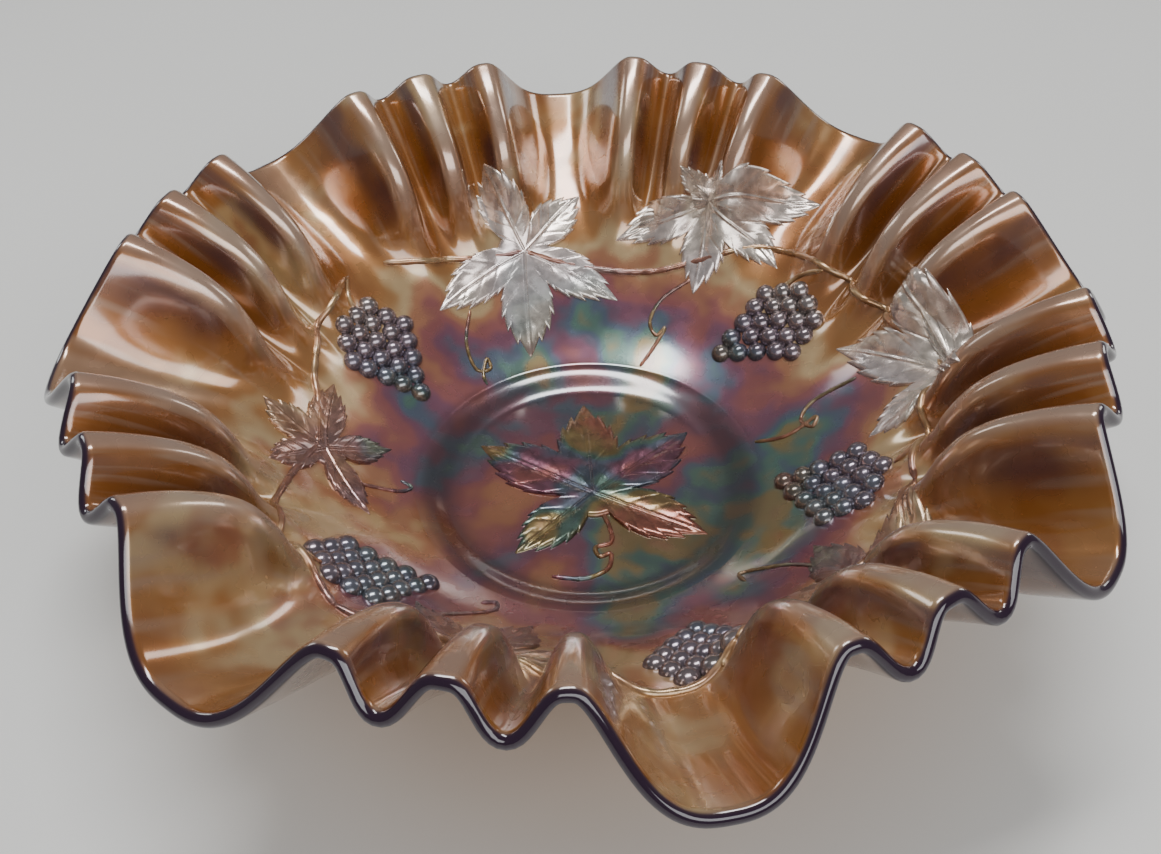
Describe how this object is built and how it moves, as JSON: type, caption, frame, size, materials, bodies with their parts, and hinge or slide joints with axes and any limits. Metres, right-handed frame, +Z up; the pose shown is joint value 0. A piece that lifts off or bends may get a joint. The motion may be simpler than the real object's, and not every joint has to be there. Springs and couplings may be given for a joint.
{
  "type": "ruffled glass bowl",
  "caption": "Round glass bowl with a deeply ruffled rim, a low foot ring and a vine, leaves and grapes in relief inside.",
  "frame": {"origin": "centre of the foot, on the plane that the bowl stands on", "axes": "+Z up through the middle of the bowl; +X and +Y are level, with no special side of the bowl"},
  "size_m": [0.2533, 0.2517, 0.0774],
  "materials": {
    "wall_glass": "dark amethyst pressed glass under a metallic marigold, magenta and teal iridescent film, satin",
    "well_glass": "dark amethyst pressed glass, iridescent film, darker in the well",
    "foot_glass": "bare amethyst glass, fire polished, ground on the standing face",
    "leaf_glass": "iridescent film, silvery green and rose on the leaves",
    "grape_glass": "iridescent film, pewter and navy on the berries",
    "vine_glass": "iridescent film, olive and rose on the vine"
  },
  "bodies": {
    "root": {"foot_ring": "foot_glass", "base_disc": "well_glass", "bowl_wall": "wall_glass", "centre_leaf": "leaf_glass", "centre_leaf_stem": "vine_glass", "vine_leaf_1": "leaf_glass", "vine_leaf_2": "leaf_glass", "vine_leaf_3": "leaf_glass", "vine_leaf_4": "leaf_glass", "vine_leaf_5": "leaf_glass", "vine_leaf_6": "leaf_glass", "grape_bunch_1": "grape_glass", "grape_bunch_2": "grape_glass", "grape_bunch_3": "grape_glass", "grape_bunch_4": "grape_glass", "grape_bunch_5": "grape_glass", "bunch_stem_1": "vine_glass", "bunch_stem_2": "vine_glass", "bunch_stem_3": "vine_glass", "bunch_stem_4": "vine_glass", "bunch_stem_5": "vine_glass", "vine_run_1": "vine_glass", "vine_run_2": "vine_glass", "vine_run_3": "vine_glass", "vine_run_4": "vine_glass", "vine_run_5": "vine_glass", "vine_run_6": "vine_glass", "vine_run_7": "vine_glass", "tendril_1": "vine_glass", "tendril_2": "vine_glass", "tendril_3": "vine_glass", "tendril_4": "vine_glass", "tendril_5": "vine_glass", "tendril_6": "vine_glass"}
  },
  "joints": []
}
